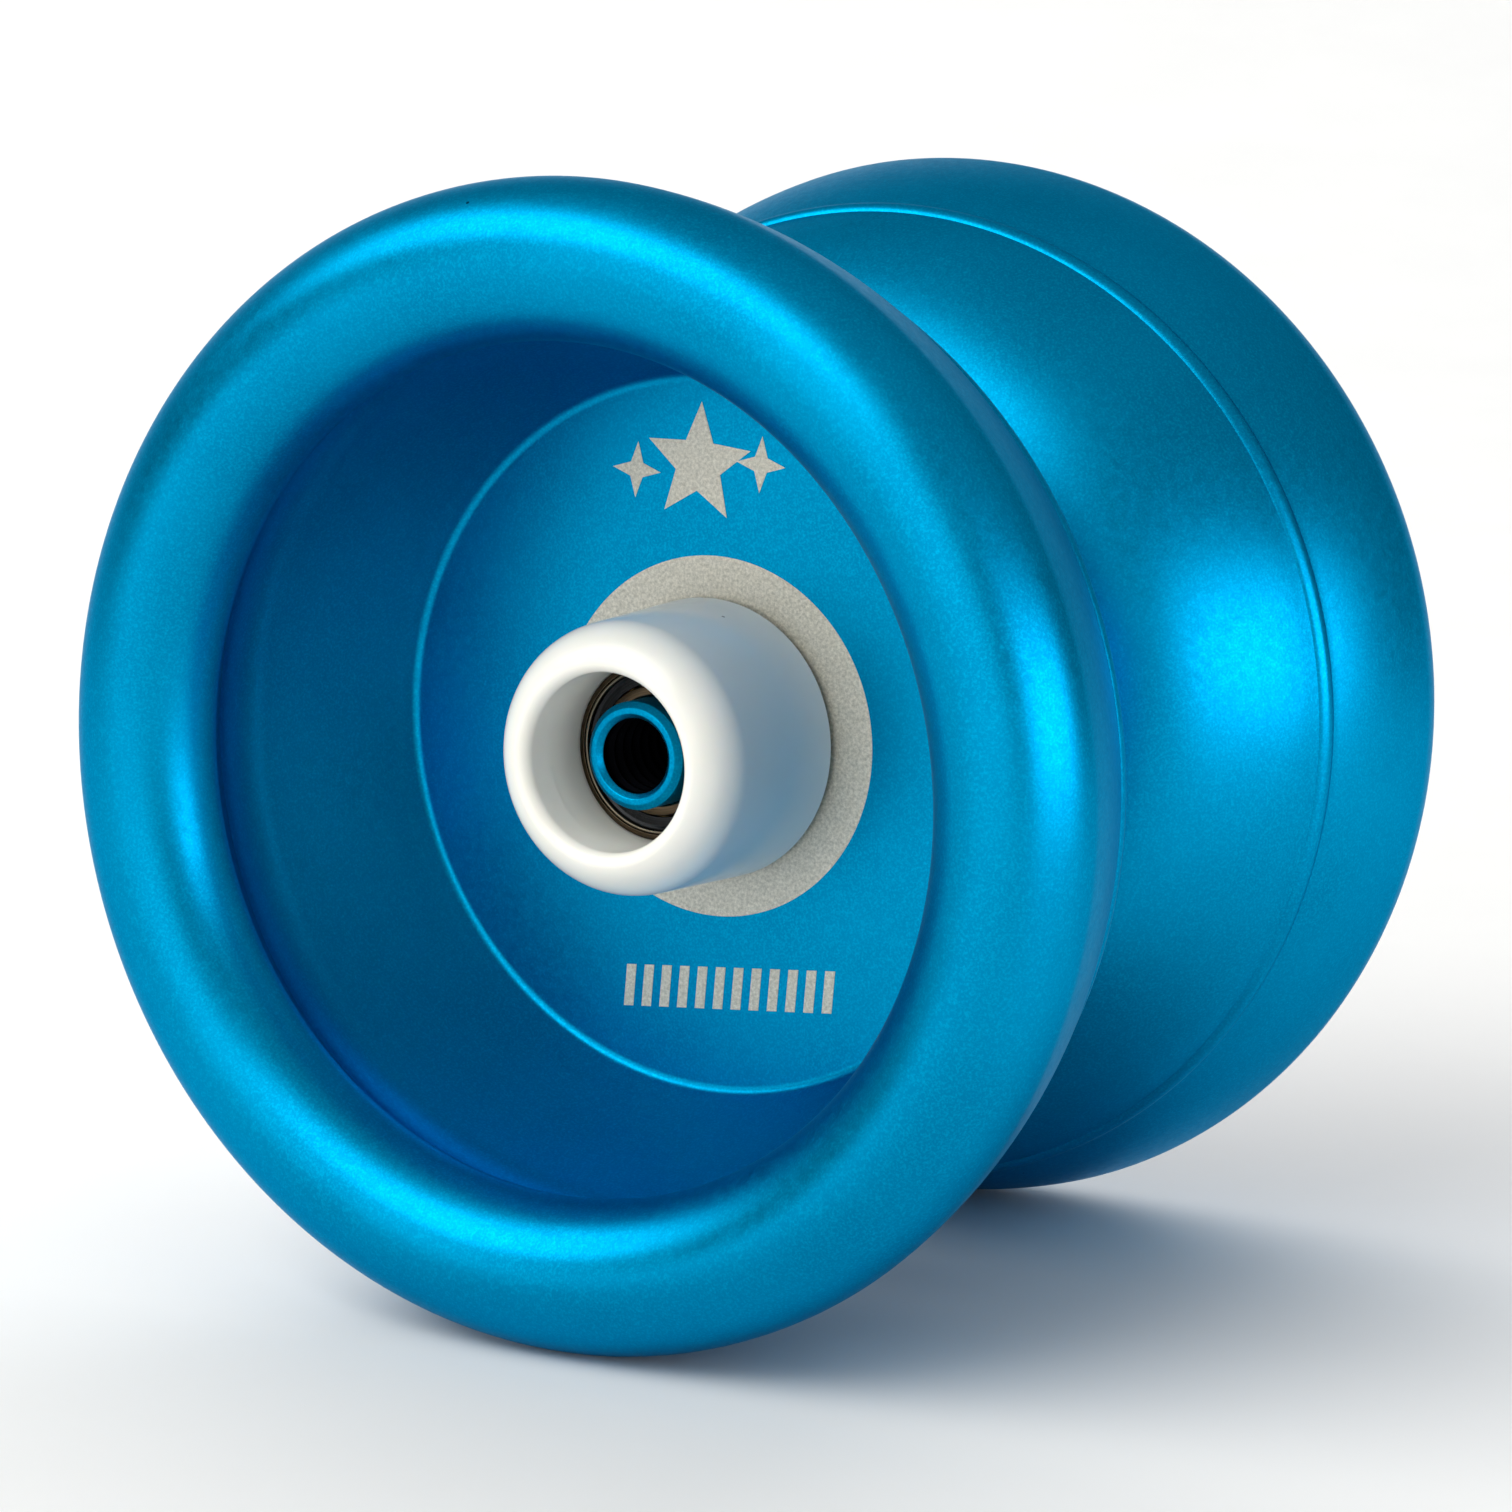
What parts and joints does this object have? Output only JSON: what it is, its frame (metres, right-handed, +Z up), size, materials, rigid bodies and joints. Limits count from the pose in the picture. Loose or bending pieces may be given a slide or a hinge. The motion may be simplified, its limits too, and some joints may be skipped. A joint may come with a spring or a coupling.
{
  "type": "yo yo",
  "caption": "Metal yo yo with wide dished halves on a ball bearing and a freely spinning white finger stack on a post in each cup.",
  "frame": {"origin": "centre of the yo yo, on the spin axis midway between the halves", "axes": "+Y along the spin axis from the front half to the back half, +Z up, standing on its two rims"},
  "size_m": [0.05, 0.0408, 0.05],
  "materials": {
    "anodised_aluminium": "bead-blasted, anodised blue",
    "white_plastic": "smooth turned acetal, satin gloss",
    "race_steel": "ground",
    "ball_steel": "polished",
    "cage": "stamped",
    "shield_steel": "stamped",
    "clip_wire": "drawn wire",
    "silicone": "matte",
    "axle_steel": "blackened"
  },
  "bodies": {
    "halves": {"half_front": "anodised_aluminium", "half_back": "anodised_aluminium", "axle_screw": "axle_steel", "response_pad_front": "silicone", "response_pad_back": "silicone", "bearing_inner_race": "race_steel", "stack_front_bearing_inner_race": "race_steel", "stack_back_bearing_inner_race": "race_steel"},
    "bearing_outer": {"bearing_outer_race": "race_steel", "bearing_shield_front": "shield_steel", "bearing_shield_back": "shield_steel", "bearing_clip_front": "clip_wire", "bearing_clip_back": "clip_wire"},
    "bearing_cage": {"bearing_cage": "cage", "bearing_ball_1": "ball_steel", "bearing_ball_2": "ball_steel", "bearing_ball_3": "ball_steel", "bearing_ball_4": "ball_steel", "bearing_ball_5": "ball_steel", "bearing_ball_6": "ball_steel", "bearing_ball_7": "ball_steel", "bearing_ball_8": "ball_steel", "bearing_ball_9": "ball_steel", "bearing_ball_10": "ball_steel"},
    "stack_front": {"stack_front_shell": "white_plastic", "stack_front_bearing_outer_race": "race_steel", "stack_front_bearing_shield_front": "shield_steel", "stack_front_bearing_shield_back": "shield_steel", "stack_front_bearing_clip_front": "clip_wire", "stack_front_bearing_clip_back": "clip_wire"},
    "stack_front_cage": {"stack_front_bearing_cage": "cage", "stack_front_bearing_ball_1": "ball_steel", "stack_front_bearing_ball_2": "ball_steel", "stack_front_bearing_ball_3": "ball_steel", "stack_front_bearing_ball_4": "ball_steel", "stack_front_bearing_ball_5": "ball_steel", "stack_front_bearing_ball_6": "ball_steel", "stack_front_bearing_ball_7": "ball_steel", "stack_front_bearing_ball_8": "ball_steel", "stack_front_bearing_ball_9": "ball_steel"},
    "stack_back": {"stack_back_shell": "white_plastic", "stack_back_bearing_outer_race": "race_steel", "stack_back_bearing_shield_front": "shield_steel", "stack_back_bearing_shield_back": "shield_steel", "stack_back_bearing_clip_front": "clip_wire", "stack_back_bearing_clip_back": "clip_wire"},
    "stack_back_cage": {"stack_back_bearing_cage": "cage", "stack_back_bearing_ball_1": "ball_steel", "stack_back_bearing_ball_2": "ball_steel", "stack_back_bearing_ball_3": "ball_steel", "stack_back_bearing_ball_4": "ball_steel", "stack_back_bearing_ball_5": "ball_steel", "stack_back_bearing_ball_6": "ball_steel", "stack_back_bearing_ball_7": "ball_steel", "stack_back_bearing_ball_8": "ball_steel", "stack_back_bearing_ball_9": "ball_steel"}
  },
  "joints": [
    {"name": "bearing_spin", "type": "hinge", "parent": "halves", "child": "bearing_outer", "pos_m": [0, 0, 0], "axis": [0, 1, 0], "continuous": true},
    {"name": "bearing_cage_spin", "type": "hinge", "parent": "halves", "child": "bearing_cage", "pos_m": [0, 0, 0], "axis": [0, 1, 0], "continuous": true},
    {"name": "stack_front_spin", "type": "hinge", "parent": "halves", "child": "stack_front", "pos_m": [0, -0.00801, 0], "axis": [0, 1, 0], "continuous": true},
    {"name": "stack_front_cage_spin", "type": "hinge", "parent": "halves", "child": "stack_front_cage", "pos_m": [0, -0.00801, 0], "axis": [0, 1, 0], "continuous": true},
    {"name": "stack_back_spin", "type": "hinge", "parent": "halves", "child": "stack_back", "pos_m": [0, 0.00801, 0], "axis": [0, 1, 0], "continuous": true},
    {"name": "stack_back_cage_spin", "type": "hinge", "parent": "halves", "child": "stack_back_cage", "pos_m": [0, 0.00801, 0], "axis": [0, 1, 0], "continuous": true}
  ],
  "couplings": [
    {"joint": "bearing_cage_spin", "follows": "bearing_spin", "ratio": 0.5834},
    {"joint": "stack_front_cage_spin", "follows": "stack_front_spin", "ratio": 0.5787},
    {"joint": "stack_back_cage_spin", "follows": "stack_back_spin", "ratio": 0.5787}
  ]
}
